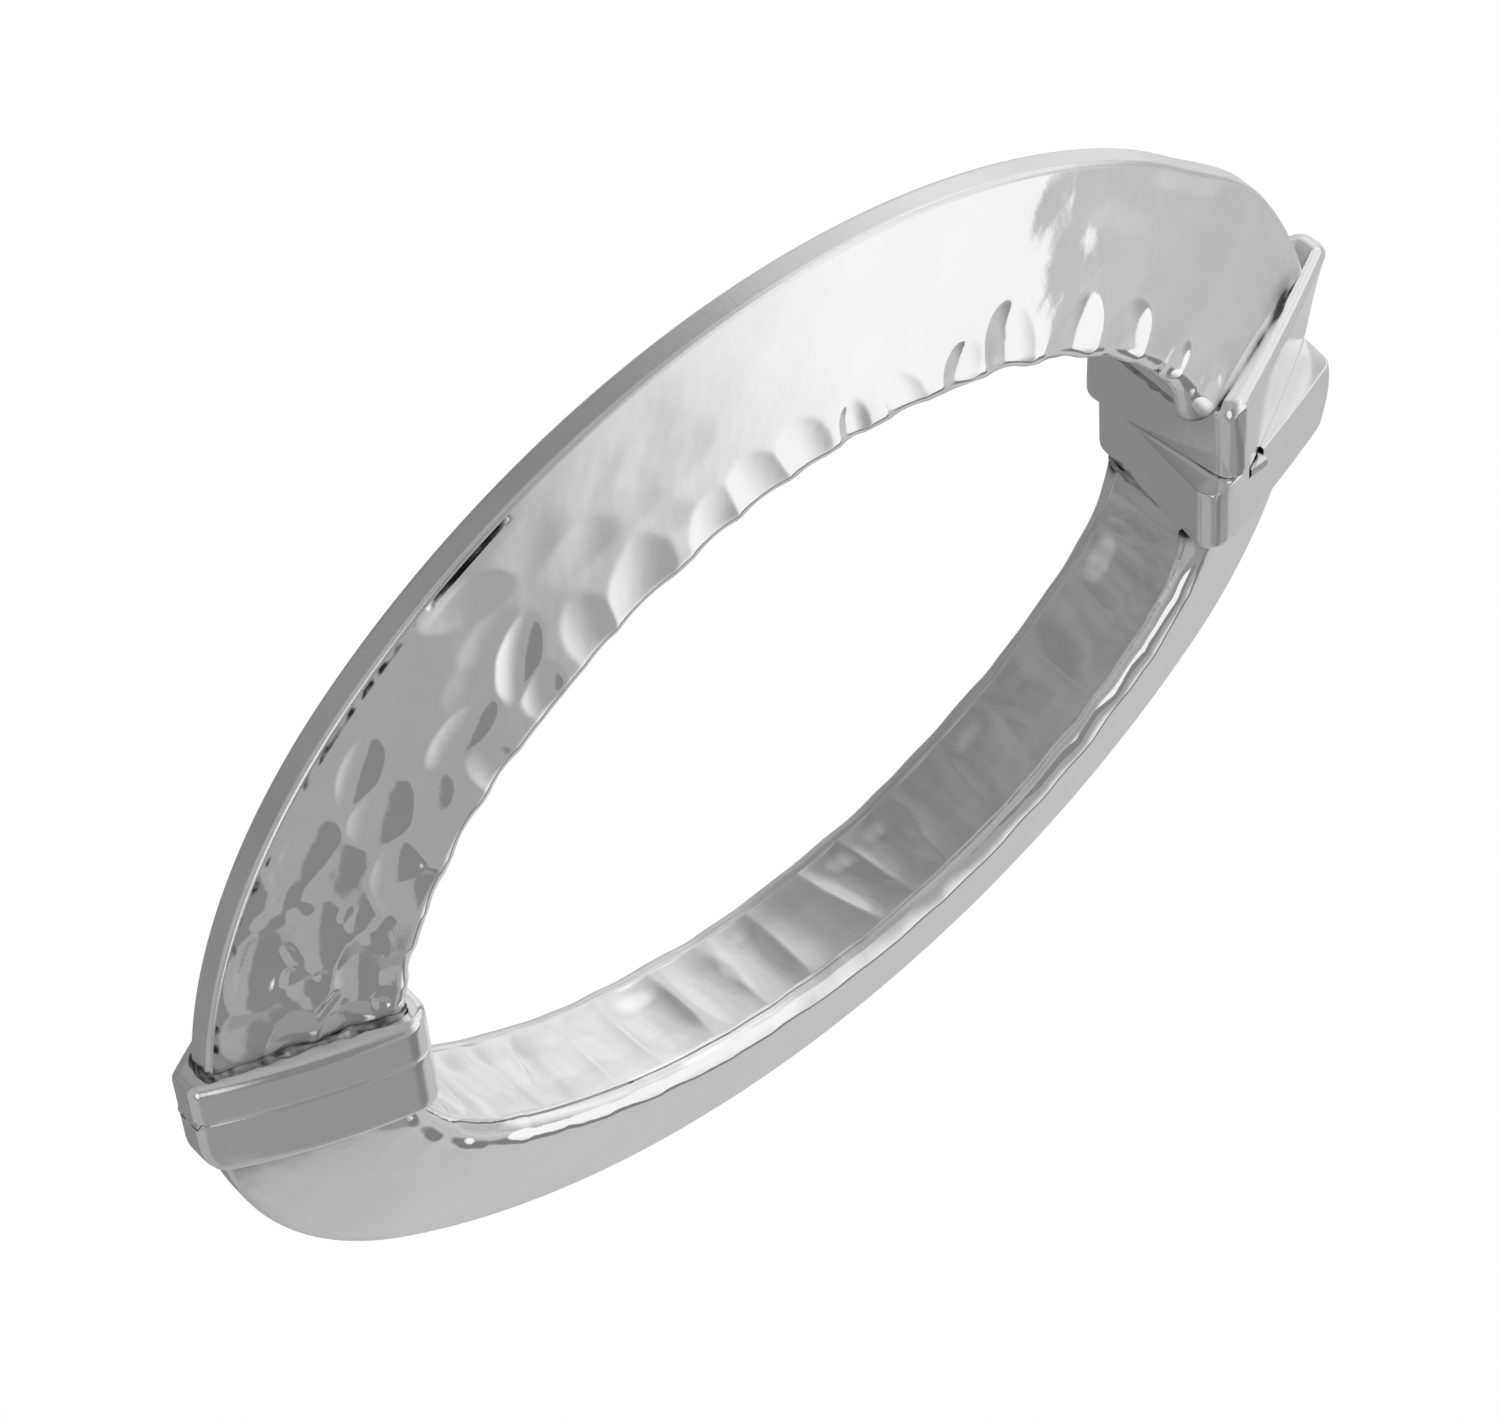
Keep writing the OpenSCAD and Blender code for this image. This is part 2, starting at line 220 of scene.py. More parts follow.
# ---- Hammer marks: each is (along, across, half length, half width, turn, depth) ----

# Middles of the rows of blows, across a face from its wrist edge
BLOW_ROWS = (3.6, 6.2, 8.8)
# How far a mark's dish is followed past its edge, and a limit that keeps its exponential finite
PAST_EDGE = -1.5
EXPONENT_LIMIT = 60
# How sharply neighbouring marks meet
SOFTNESS = 70.0


def waves(rng, along, across, size, count):
    """Smooth random unevenness of about plus or minus one, with features of this size in millimetres."""
    total = np.zeros_like(along)
    for _ in range(count):
        turn = rng.uniform(0, 2 * math.pi)
        k = 2 * math.pi / (size * rng.uniform(0.7, 1.6))
        distance = along * math.cos(turn) + across * math.sin(turn)
        total += np.cos(k * distance + rng.uniform(0, 2 * math.pi))
    return total / math.sqrt(count)


def dents(along, across, marks):
    """Height, below nought, of overlapping hammer marks whose meeting lines stay a little soft."""
    total = np.ones_like(along)
    for s, w, half_length, half_width, turn, depth in marks:
        near = np.abs(along - s) < 2.5 * max(half_length, half_width)
        ds, dw = along[near] - s, across[near] - w
        u = (ds * math.cos(turn) + dw * math.sin(turn)) / half_length
        v = (-ds * math.sin(turn) + dw * math.cos(turn)) / half_width
        dish = depth * np.clip(1 - (u * u + v * v), PAST_EDGE, 1)
        total[near] += np.exp(np.minimum(SOFTNESS * dish, EXPONENT_LIMIT))
    return -np.log(total) / SOFTNESS


def blow(rng, along, across, lengths, widths, turn, depths, strength=1.0):
    """One mark, its half length, half width, turn and depth drawn from these ranges."""
    return (along, across, rng.uniform(*lengths), rng.uniform(*widths), rng.uniform(-turn, turn),
            strength * rng.uniform(*depths))


def scallops(rng, length, start, strength):
    """Blows struck across the wrist edge, side by side."""
    marks = []
    s = start
    while s < length - 1:
        size = rng.uniform(0.6, 1.2)
        across = rng.uniform(0.5, 1.6)
        half_width = rng.uniform(2.2, 3.4) * size
        turn = rng.uniform(-0.6, 0.6)
        depth = rng.uniform(0.17, 0.34) * size
        marks.append((s, across, 1.75 * size, half_width, turn, depth * strength))
        s += rng.uniform(3.0, 5.4)
    return marks


def face_blows(rng, length, deep_until):
    """Blows over the rest of the face: deep near the hinge, faint towards the clasp."""
    marks = []
    s = 1.5
    while s < length - 3:
        strength = 1.0 if s < deep_until else 0.35 if s < 1.5 * deep_until else 0.1
        for row in BLOW_ROWS:
            marks.append(blow(rng, s + rng.uniform(-1.4, 1.4), row + rng.uniform(-0.7, 0.7),
                              lengths=(1.4, 2.6), widths=(1.0, 1.7), turn=0.9, depths=(0.06, 0.24),
                              strength=strength))
        s += rng.uniform(3.8, 5.2)
    return marks


def sharp_blows(rng, start, stop, count):
    """Small sharp blows crowded together beside the hinge."""
    return [blow(rng, rng.uniform(start, stop), rng.uniform(1.5, 9.5),
                 lengths=(0.5, 1.5), widths=(0.35, 0.8), turn=1.5, depths=(0.04, 0.11))
            for _ in range(count)]


def band_blows(rng, length):
    """Cross-peen blows across the inner band, with a few rounder ones."""
    marks = []
    s = 1.0
    while s < length - 1:
        marks.append(blow(rng, s, rng.uniform(-1.5, 1.5),
                          lengths=(1.6, 2.9), widths=(5.0, 9.0), turn=0.3, depths=(0.16, 0.36)))
        for _ in range(2):
            marks.append(blow(rng, s + rng.uniform(-2, 2), rng.uniform(-3.4, 3.4),
                              lengths=(0.7, 1.6), widths=(0.9, 2.0), turn=0.5, depths=(0.05, 0.16)))
        s += rng.uniform(3.0, 4.8)
    return marks


# ---- Meshes ----

# Edges turning by more than this many radians stay sharp
SHARP = 0.6
SHEET_SHARP = 0.9


def loop_faces(count, size, closed):
    """Four-sided faces between this many rings of points; closed also joins the last ring to the first."""
    index = np.arange(count * size).reshape(count, size)
    if closed:
        index = np.concatenate([index, index[:1]])
    beside = np.roll(index, -1, axis=1)
    return np.stack([index[:-1], index[1:], beside[1:], beside[:-1]], axis=-1).reshape(-1, 4).tolist()


def shade(mesh, sharp):
    """Shades the faces smooth, but for edges that turn by more than this, and turns them all outwards."""
    bm = bmesh.new()
    bm.from_mesh(mesh)
    bmesh.ops.recalc_face_normals(bm, faces=bm.faces)
    for face in bm.faces:
        face.smooth = True
    for edge in bm.edges:
        if edge.is_manifold:
            edge.smooth = edge.calc_face_angle(0) <= sharp
    bm.to_mesh(mesh)
    bm.free()


def mesh_object(name, points, faces, material, sharp=SHARP):
    """A piece made of these points, in millimetres, and faces."""
    mesh = bpy.data.meshes.new(name)
    mesh.from_pydata((np.array(points) * MM).tolist(), [], faces)
    shade(mesh, sharp)
    mesh.materials.append(material)
    obj = bpy.data.objects.new(name, mesh)
    bpy.context.scene.collection.objects.link(obj)
    return obj


# Stores each point's darkening, both tarnish and painted shade, for the silver to read
def set_patina_and_shade(obj, values):
    obj.data.attributes.new("patina_and_shade", "FLOAT", "POINT").data.foreach_set("value", values)


# ---- Materials ----

class Maths:
    """Small helper that builds sums of node maths."""

    def __init__(self, tree):
        self.tree = tree

    def op(self, kind, *inputs):
        node = self.tree.nodes.new("ShaderNodeMath")
        node.operation = kind
        for i, value in enumerate(inputs):
            if isinstance(value, (int, float)):
                node.inputs[i].default_value = value
            else:
                self.tree.links.new(value, node.inputs[i])
        return node.outputs[0]

    def step(self, value, low, high, at_low=0.0, at_high=1.0):
        node = self.tree.nodes.new("ShaderNodeMapRange")
        node.interpolation_type = "SMOOTHSTEP"
        node.inputs["From Min"].default_value = low
        node.inputs["From Max"].default_value = high
        node.inputs["To Min"].default_value = at_low
        node.inputs["To Max"].default_value = at_high
        self.tree.links.new(value, node.inputs["Value"])
        return node.outputs[0]

    def mix(self, factor, a, b):
        return self.op("ADD", self.op("MULTIPLY", a, self.op("SUBTRACT", 1.0, factor)),
                       self.op("MULTIPLY", b, factor))


# Colour and roughness of the dark places: tarnish, and painted shade in the clasp's crevice and the slit
TARNISH_AND_SHADE_TONE = 0.06
TARNISH_AND_SHADE_ROUGHNESS = 0.45
# Depth of the scratches, in metres
SCRATCH_DEPTH = 0.00001
SCRATCH_TURN = (0.3, 0.2, 0.7)


def new_material(name):
    material = bpy.data.materials.new(name)
    material.use_nodes = True
    return material, material.node_tree.nodes, material.node_tree.links


def silver(name, tone, roughness, scratch, darkening=0.0):
    """Polished silver with fine scratches, smudges, and dark tarnish and painted shade where an attribute
    says.
    """
    material, nodes, links = new_material(name)
    bsdf = nodes["Principled BSDF"]
    bsdf.inputs["Metallic"].default_value = 1
    m = Maths(material.node_tree)
    coords = nodes.new("ShaderNodeTexCoord")

    def noise(scale, detail, stretch=None):
        node = nodes.new("ShaderNodeTexNoise")
        node.inputs["Scale"].default_value = scale
        node.inputs["Detail"].default_value = detail
        source = coords.outputs["Object"]
        if stretch:
            mapping = nodes.new("ShaderNodeMapping")
            mapping.inputs["Scale"].default_value = stretch
            mapping.inputs["Rotation"].default_value = SCRATCH_TURN
            links.new(source, mapping.inputs["Vector"])
            source = mapping.outputs["Vector"]
        links.new(source, node.inputs["Vector"])
        return node.outputs["Fac"]

    smudge = noise(scale=160, detail=5)
    speckle = noise(scale=900, detail=4)
    # A point attribute gives tarnish at the joints and seams, and painted shade in the clasp's crevice and
    # the slit
    patina_and_shade = nodes.new("ShaderNodeAttribute")
    patina_and_shade.attribute_name = "patina_and_shade"
    speckled = m.step(speckle, 0.30, 0.62, at_low=0.55, at_high=1.15)
    in_crevices = m.op("MULTIPLY", patina_and_shade.outputs["Fac"], speckled)
    in_smudges = m.step(smudge, 0.62, 0.8, at_high=darkening)
    dark = m.op("MINIMUM", m.op("MAXIMUM", in_crevices, in_smudges), 1.0)
    clean = m.step(smudge, 0.3, 0.7, at_low=tone * 0.975, at_high=tone * 1.01)
    links.new(m.mix(dark, clean, TARNISH_AND_SHADE_TONE), bsdf.inputs["Base Color"])
    rough = m.step(smudge, 0.3, 0.75, at_low=roughness * 0.75, at_high=roughness * 1.4)
    links.new(m.mix(dark, rough, TARNISH_AND_SHADE_ROUGHNESS), bsdf.inputs["Roughness"])
    scratches = m.op("ADD", noise(scale=700, detail=3, stretch=(1, 14, 1)),
                     noise(scale=800, detail=3, stretch=(16, 1, 1)))
    bump = nodes.new("ShaderNodeBump")
    bump.inputs["Strength"].default_value = scratch
    bump.inputs["Distance"].default_value = SCRATCH_DEPTH
    links.new(m.op("ADD", scratches, speckle), bump.inputs["Height"])
    links.new(bump.outputs["Normal"], bsdf.inputs["Normal"])
    return material


MATERIAL_OF = {
    "hammered_sheet": silver("sheet_silver", tone=0.94, roughness=0.04, scratch=0.12),
    "inner_band_silver": silver("band_silver", tone=0.92, roughness=0.06, scratch=0.2, darkening=0.06),
    "rim_silver": silver("rim_silver", tone=0.90, roughness=0.2, scratch=0.5, darkening=0.1),
    "collar_silver": silver("collar_silver", tone=0.91, roughness=0.11, scratch=0.3, darkening=0.08),
    "fitting_silver": silver("fitting_silver", tone=0.66, roughness=0.25, scratch=0.3, darkening=0.2),
}
SOLDER = silver("solder", tone=0.72, roughness=0.2, scratch=0.5, darkening=0.85)

SLOT_OF = {row["node"]: row["material_slot"] for row in frame["record"]["subparts"]}
for name, obj in frame["nodes"].items():
    obj.data.materials.clear()
    obj.data.materials.append(MATERIAL_OF[SLOT_OF[name]])


# ---- The two halves: sheets swept round the ring and hammered ----

ROWS = 860
RIM_SHEET = 0.4
SEED = {TONGUE: 11, BOX: 23}
DEEP_UNTIL = {TONGUE: 28.0, BOX: 0.0}
SCALLOP_STRENGTH = {TONGUE: 1.0, BOX: 0.35}
# Start, end and number of the sharp blows beside the hinge
SHARP_BLOWS = {TONGUE: (6.5, 17.0, 34), BOX: (0, 0, 0)}
# How far each face is turned up to meet its clasp collar, and over what length
FLARE = {(TONGUE, 1): 0.5, (TONGUE, -1): 0.1, (BOX, 1): 0.5, (BOX, -1): 0.1}
FLARE_LENGTH = 2.0
# Open length of the seam between the near top face and the rim: its middle, half length, width and depth
SLIT_PLACE, SLIT_HALF, SLIT_WIDTH, SLIT_DEPTH = 29.1, 2.4, 0.50, 0.5
# Marks fade out within this much of the rim, and the band's towards its edges and its ends
RIM_FADE = 1.2
BAND_EDGE_FADE = 2.2
BAND_END_FADE = 1.6
# A rougher stretch of each face: its distance from the clasp and its spread
ROUGH_PLACE, ROUGH_SPREAD = 15, 6
# Strength of each half's seam tarnish and of the painted shade in its clasp crevice,
# the tarnished width of its seam and how far that runs from the hinge
CREVICE_SHADE_AND_SEAM_TARNISH = {TONGUE: 1.4, BOX: 0.1}
SEAM_WIDTH = 0.55
SEAM_TARNISH_END, SEAM_TARNISH_FADE = 28, 6
# Height and half height of the painted shade in the crevice at the clasp
CREVICE_HEIGHT, CREVICE_HALF = 8.6, 2


class Sheet:
    """Places over one sheet of one half: rows of points across its section, repeated along the ring."""

    def __init__(self, side, part):
        profile = section_profile(side, part)
        self.side = side
        self.points = np.array([point for point, _ in profile])
        self.normals = np.array([normal for _, normal in profile])
        self.angle = np.zeros((ROWS + 1, len(profile)))
        run = np.linspace(0, 1, ROWS + 1)
        for column, (height, _) in enumerate(self.points):
            start, stop = end_angles(side, height)
            self.angle[:, column] = start + (stop - start) * run
        across = np.concatenate([[0], np.cumsum(np.hypot(*np.diff(self.points, axis=0).T))])
        self.along = arc_lengths(side, self.angle)
        self.across = np.broadcast_to(across, self.along.shape)
        self.height = np.broadcast_to(self.points[:, 0], self.along.shape)
        self.z = np.broadcast_to(self.points[:, 1], self.along.shape)
        self.from_hinge = self.along - self.along[:1]
        self.to_clasp = self.along[-1:] - self.along

    def placed(self, angle, height, z):
        """Points in the shared frame, in millimetres."""
        x, y = ring_curve(self.side, angle, height)
        return np.stack([x + SEAM_X, y + SEAM_Y, np.broadcast_to(z + MID_Z, x.shape)], axis=-1)


def sheet_piece(name, sheet, raised, slot, flip=1, thickness=SHEET, darkening=None):
    """A closed sheet raised by this much at each place; flip is -1 for a bottom face."""
    height = sheet.points[:, 0] + raised * sheet.normals[:, 0]
    z = sheet.points[:, 1] + raised * sheet.normals[:, 1]
    outside = sheet.placed(sheet.angle, height, z * flip)
    inside = []
    for column in (-1, 0):
        h, z = sheet.points[column] - thickness * sheet.normals[column]
        inside.append(sheet.placed(sheet.angle[:, column], h, z * flip))
    points = np.concatenate([outside, np.stack(inside, axis=1)], axis=1)
    rows, columns, _ = points.shape
    faces = loop_faces(rows, columns, closed=False)
    faces.append(list(range(columns)))
    faces.append(list(range(rows * columns - 1, (rows - 1) * columns - 1, -1)))
    obj = mesh_object(name, points.reshape(-1, 3), faces, MATERIAL_OF[slot], SHEET_SHARP)
    # Each point's darkening: tarnish, and painted shade where the face runs into a crevice or the slit
    patina_and_shade = np.zeros((rows, columns))
    if darkening is not None:
        patina_and_shade[:, :-2] = darkening
        patina_and_shade[:, -2] = darkening[:, -1]
        patina_and_shade[:, -1] = darkening[:, 0]
    set_patina_and_shade(obj, patina_and_shade.ravel())
    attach(obj, BODY[sheet.side])
    return obj


def slit_shape(sheet, flip):
    """How far open the seam between the near top face and the rim is."""
    if (sheet.side, flip) != (TONGUE, 1):
        return np.zeros_like(sheet.along)
    opened = np.clip(1 - np.abs(sheet.along - SLIT_PLACE) / SLIT_HALF, 0, 1) ** 0.5
    return opened * (sheet.height > HEIGHT - SLIT_WIDTH)


def face_relief(sheet, flip, marks, seed):
    """How far each place on a face is raised: marks, unevenness, the turned-up clasp end and the slit."""
    rng = np.random.default_rng(seed)
    along, across = sheet.along, sheet.across
    swell = 0.028 * waves(rng, along, across, size=9.0, count=12)
    ripple = 0.0014 * waves(rng, along, across, size=1.1, count=14)
    rougher = 1 + 1.5 * np.exp(-((sheet.to_clasp - ROUGH_PLACE) / ROUGH_SPREAD) ** 2)
    lumps = 0.009 * rougher * waves(rng, along, across, size=3.2, count=12)
    grain = 0.0003 * waves(rng, along, across, size=0.35, count=14)
    uneven = swell + ripple + lumps + grain
    rim_fade = np.clip((HEIGHT - sheet.height) / RIM_FADE, 0, 1)
    hammered = dents(along, across - EDGE_RADIUS[sheet.side], marks)
    turned_up = np.exp(-(sheet.to_clasp / FLARE_LENGTH) ** 2)
    flare = FLARE[sheet.side, flip] * np.clip(1.15 - 0.11 * sheet.height, 0, 1.15) * turned_up
    return (hammered + uneven) * rim_fade + flare - SLIT_DEPTH * slit_shape(sheet, flip)


def face_tarnish_and_shade(sheet, flip, seed):
    """0 to 1: tarnish at the ends and on the seam near the hinge; painted shade in the clasp's crevice and
    the slit.
    """
    rng = np.random.default_rng(seed)
    along, across = sheet.along, sheet.across
    patch = 0.5 + 0.5 * waves(rng, along, across, size=3.0, count=10)
    # Darker close to each collar: tarnish at the joints, and at the clasp end painted shade of its crevice
    at_ends_tarnish_and_shade = np.exp(-sheet.from_hinge / 0.35) + 0.9 * np.exp(-sheet.to_clasp / 0.4)
    # Painted shade: a dark band in the crevice at the clasp collar's back, across the middle of the face's
    # height
    in_height = np.clip(1 - np.abs(sheet.height - CREVICE_HEIGHT) / CREVICE_HALF, 0, 1)
    crevice = np.exp(-sheet.to_clasp / 0.7) * in_height
    broken = waves(rng, along, across, size=0.9, count=12) + waves(rng, along, across, size=5.0, count=6)
    seam = (sheet.height > HEIGHT - SEAM_WIDTH) * np.clip(broken, 0, 1)
    near_hinge = np.clip((SEAM_TARNISH_END - along) / SEAM_TARNISH_FADE, 0, 1)
    # The crevice's painted shade and the seam's tarnish, strong on the tongue half and faint on the box half
    crevice_shade_and_seam_tarnish = CREVICE_SHADE_AND_SEAM_TARNISH[sheet.side] * (1.5 * crevice + near_hinge * seam)
    # The open slit is painted fully dark: painted shade in the gap, on top of its real recess
    return np.clip(at_ends_tarnish_and_shade * (0.7 + 0.5 * patch) + crevice_shade_and_seam_tarnish + 2 * slit_shape(sheet, flip), 0, 1)


def band_relief(sheet, marks, seed):
    """How far each place on an inner band is raised."""
    rng = np.random.default_rng(seed)
    from_edge = np.max(sheet.z) - np.abs(sheet.z)
    fade = 1 - 0.5 * smooth((BAND_EDGE_FADE - from_edge) / BAND_EDGE_FADE)
    fade = fade * smooth(np.minimum(sheet.from_hinge, sheet.to_clasp) / BAND_END_FADE)
    swell = 0.012 * waves(rng, sheet.along, sheet.z, size=7.0, count=12)
    return (dents(sheet.along, sheet.z, marks) + swell) * fade


def make_half(side):
    rng = np.random.default_rng(SEED[side])
    length = float(arc_lengths(side, math.pi))
    face, band, rim = [Sheet(side, part) for part in ("face", "band", "rim")]
    for flip, word in ((1, "top"), (-1, "bottom")):
        marks = scallops(rng, length, 1.0 + rng.uniform(0, 2), SCALLOP_STRENGTH[side])
        marks += face_blows(rng, length, DEEP_UNTIL[side])
        marks += sharp_blows(rng, *SHARP_BLOWS[side])
        seed = int(rng.integers(1, 10 ** 6))
        relief = face_relief(face, flip, marks, seed)
        darkening = face_tarnish_and_shade(face, flip, seed + 1)
        piece = sheet_piece(f"{BODY[side]}_{word}_face", face, relief, "hammered_sheet", flip,
                            darkening=darkening)
        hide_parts(f"{BODY[side]}_{word}_sheet")
    marks = band_blows(rng, length)
    seed = int(rng.integers(1, 10 ** 6))
    piece = sheet_piece(f"{BODY[side]}_band", band, band_relief(band, marks, seed), "inner_band_silver")
    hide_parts(f"{BODY[side]}_inner_band")
    piece = sheet_piece(f"{BODY[side]}_rim", rim, np.zeros_like(rim.along), "rim_silver",
                        thickness=RIM_SHEET)
    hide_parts(f"{BODY[side]}_rim_strip")


for side in (TONGUE, BOX):
    make_half(side)


# ---- Collars: rounded frames, each turned a little about the ring's line as the real ones are ----

COLLAR_SLOPE = math.radians(21.7)
COLLAR_OUTER = 41.9
CLASP_OUTER = 43.7
SEAM_GAP = 0.06
TWIST_PIVOT = 29.5
HOLLOW_WALL = 1.0
HOLLOW_ROUND = 0.3
LEAST_RADIUS = 0.03
CORNER_STEPS = 12
SIDE_STEPS = 12
FILLET_STEPS = 6
STRAIGHT_STEPS = 9

# inner is the outline's inner reach and far_half its half height at COLLAR_OUTER. twist is in degrees, and
# untwist is the share of it lost by the back edge. slant is how much longer the outer end is. reach and
# plan_round are the outer end's furthest reach and its rounding, centred plan_centre from the joint plane.
Collar = namedtuple("Collar", "inner far_half twist untwist slant reach plan_round plan_centre "
                              "hollow_outer hollow_half inner_round outer_round front_round back_round "
                              "bulge")
HINGE_COLLAR = Collar(
    inner=28.6, far_half=1.0, twist=0, untwist=0, slant=0,
    reach=COLLAR_OUTER, plan_round=3.6, plan_centre=3.2, hollow_outer=39.3, hollow_half=0.95,
    inner_round=1.5, outer_round=0.8, front_round=0.1, back_round=0.55, bulge=0.3)
TONGUE_CLASP_COLLAR = Collar(
    inner=29.7, far_half=1.69, twist=-7.4, untwist=0.65, slant=0.09,
    reach=CLASP_OUTER, plan_round=6.3, plan_centre=4.3, hollow_outer=40.3, hollow_half=0.5,
    inner_round=1.3, outer_round=1.1, front_round=0.25, back_round=0.9, bulge=0.12)
BOX_CLASP_COLLAR = Collar(
    inner=29.2, far_half=1.34, twist=6.0, untwist=0, slant=0,
    reach=COLLAR_OUTER, plan_round=6.3, plan_centre=1.5, hollow_outer=40.3, hollow_half=0.5,
    inner_round=1.3, outer_round=0.8, front_round=0.12, back_round=0.6, bulge=0.12)
COLLARS = {(TONGUE, HINGE): HINGE_COLLAR, (BOX, HINGE): HINGE_COLLAR._replace(plan_centre=2.5),
           (TONGUE, CLASP): TONGUE_CLASP_COLLAR, (BOX, CLASP): BOX_CLASP_COLLAR}


def arc(centre, radius, first, last):
    """Points of an arc between two angles in degrees."""
    angles = [math.radians(first + (last - first) * i / CORNER_STEPS) for i in range(CORNER_STEPS + 1)]
    return [(centre[0] + radius * math.cos(a), centre[1] + radius * math.sin(a)) for a in angles]


def rounded_frame(inner, outer, far_half, inner_round, outer_round, inset=0.0, bulge=0.0):
    """Outline of a collar, or of its hollow: (reach, z) points, drawn in by inset."""
    t, c = math.tan(COLLAR_SLOPE), math.cos(COLLAR_SLOPE)
    far_half = far_half + inset * t - inset / c
    inner, outer = inner + inset, outer - inset
    near_half = far_half + (outer - inner) * t
    inner_round = max(inner_round - inset, LEAST_RADIUS)
    outer_round = max(outer_round - inset, LEAST_RADIUS)
    square = 90 - math.degrees(COLLAR_SLOPE)
    inner_z = near_half - inner_round * t - inner_round / c
    outer_z = far_half + outer_round * t - outer_round / c
    upper = arc((inner + inner_round, inner_z), inner_round, 180, square)
    last = arc((outer - outer_round, outer_z), outer_round, square, 0)
    start, stop = upper[-1], last[0]
    for i in range(1, SIDE_STEPS):
        f = i / SIDE_STEPS
        rise = bulge * 4 * f * (1 - f)
        upper.append((start[0] + (stop[0] - start[0]) * f + rise * math.sin(COLLAR_SLOPE),
                      start[1] + (stop[1] - start[1]) * f + rise * c))
    upper += last
    return upper + [(u, -z) for u, z in reversed(upper)]


def fillet_stations(start, stop, front, back):
    """(distance, inset) pairs that round a collar's front and back edges."""
    turns = [math.pi / 2 * i / FILLET_STEPS for i in range(FILLET_STEPS + 1)]
    straight = stop - back - start - front
    out = [(start + front * (1 - math.cos(a)), front * (1 - math.sin(a))) for a in turns]
    out += [(start + front + straight * i / STRAIGHT_STEPS, 0.0) for i in range(1, STRAIGHT_STEPS)]
    out += [(stop - back * (1 - math.sin(a)), back * (1 - math.cos(a))) for a in turns]
    return out


def outer_end(side, end, away):
    """How far out a collar reaches at this distance from the joint plane: its ends are rounded in plan."""
    shape = COLLARS[side, end]
    if end == HINGE and away < shape.plan_centre:
        return shape.reach
    from_centre = away - shape.plan_centre
    return shape.reach - shape.plan_round + math.sqrt(shape.plan_round ** 2 - from_centre ** 2)


def end_word(end):
    return "hinge" if end == HINGE else "clasp"


def collar_ring(side, end, away, inset):
    """The collar's outline at one distance from the joint plane."""
    shape = COLLARS[side, end]
    away_share = away / COLLAR_LENGTH[side, end]
    turn = math.radians(shape.twist) * (1 - shape.untwist * away_share ** 2) * -end
    outer = outer_end(side, end, away)
    half = shape.far_half + (COLLAR_OUTER - outer) * math.tan(COLLAR_SLOPE)
    ring = []
    outline = rounded_frame(shape.inner, outer, half, shape.inner_round, shape.outer_round,
                            inset, shape.bulge)
    for u, z in outline:
        du = u - TWIST_PIVOT
        x = TWIST_PIVOT + du * math.cos(turn) - z * math.sin(turn)
        z = z * math.cos(turn) + du * math.sin(turn)
        slant = 1 + shape.slant * (u - shape.inner) / (outer - shape.inner)
        ring.append((end * x, side * away * slant, max(-HALF_LAND, min(HALF_LAND, z))))
    return ring


def collar(side, end):
    """A hollow collar: its outline from the joint plane to its back, then its hollow's back to front."""
    shape = COLLARS[side, end]
    length = COLLAR_LENGTH[side, end]
    stations = fillet_stations(SEAM_GAP / 2, length, shape.front_round, shape.back_round)
    rings = [collar_ring(side, end, away, inset) for away, inset in stations]
    hollow = rounded_frame(shape.inner + HOLLOW_WALL, shape.hollow_outer, shape.hollow_half,
                           HOLLOW_ROUND, HOLLOW_ROUND)
    rings += [[(end * u, side * away, z) for u, z in hollow] for away in (length, SEAM_GAP / 2)]
    points = [(x + SEAM_X, y + SEAM_Y, z + MID_Z) for ring in rings for x, y, z in ring]
    faces = loop_faces(len(rings), len(hollow), closed=True)
    obj = mesh_object(f"{BODY[side]}_{end_word(end)}_end", points, faces, MATERIAL_OF["collar_silver"])
    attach(obj, BODY[side])
    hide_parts(f"{BODY[side]}_{end_word(end)}_collar")
    return obj


# ---- Cuts in the collars: grooves for the knuckles, the hinge's relief and the tab's notch ----

HINGE_X = 41.1
KNUCKLE_RADIUS = 0.8
KNUCKLE_HALF = 0.8
MIDDLE_KNUCKLE_HALF = 0.27
# Room left round the other half's knuckles, and beside them
GROOVE_ROOM = 0.06
SIDE_ROOM = 0.03
CIRCLE_STEPS = 48
RELIEF_ANGLE = math.radians(27)
RELIEF_REACH = 2.0
RELIEF_HALF = 6
TAB_X = -33.1
NOTCH_HALF = 0.77
NOTCH_DEPTH = 1.15
NOTCH_TOP = 7
# How far the cutters start in front of a collar
PAST_FRONT = 0.05


def prism(outline, low, high):
    """Cutter: an (x, y) outline run from one z to another."""
    n = len(outline)
    points = [(x + SEAM_X, y + SEAM_Y, z + MID_Z) for z in (low, high) for x, y in outline]
    faces = [list(range(n)), list(range(2 * n - 1, n - 1, -1))]
    faces += loop_faces(2, n, closed=False)
    return mesh_object("cutter", points, faces, MATERIAL_OF["collar_silver"])


def cut(obj, cutter):
    """Takes the cutter's shape out of the piece and keeps the result as its mesh."""
    boolean = obj.modifiers.new("cut", "BOOLEAN")
    boolean.operation = "DIFFERENCE"
    boolean.solver = "EXACT"
    boolean.object = cutter
    depsgraph = bpy.context.evaluated_depsgraph_get()
    mesh = bpy.data.meshes.new_from_object(obj.evaluated_get(depsgraph))
    obj.modifiers.remove(boolean)
    obj.data = mesh
    bpy.data.objects.remove(cutter)
    shade(mesh, SHARP)


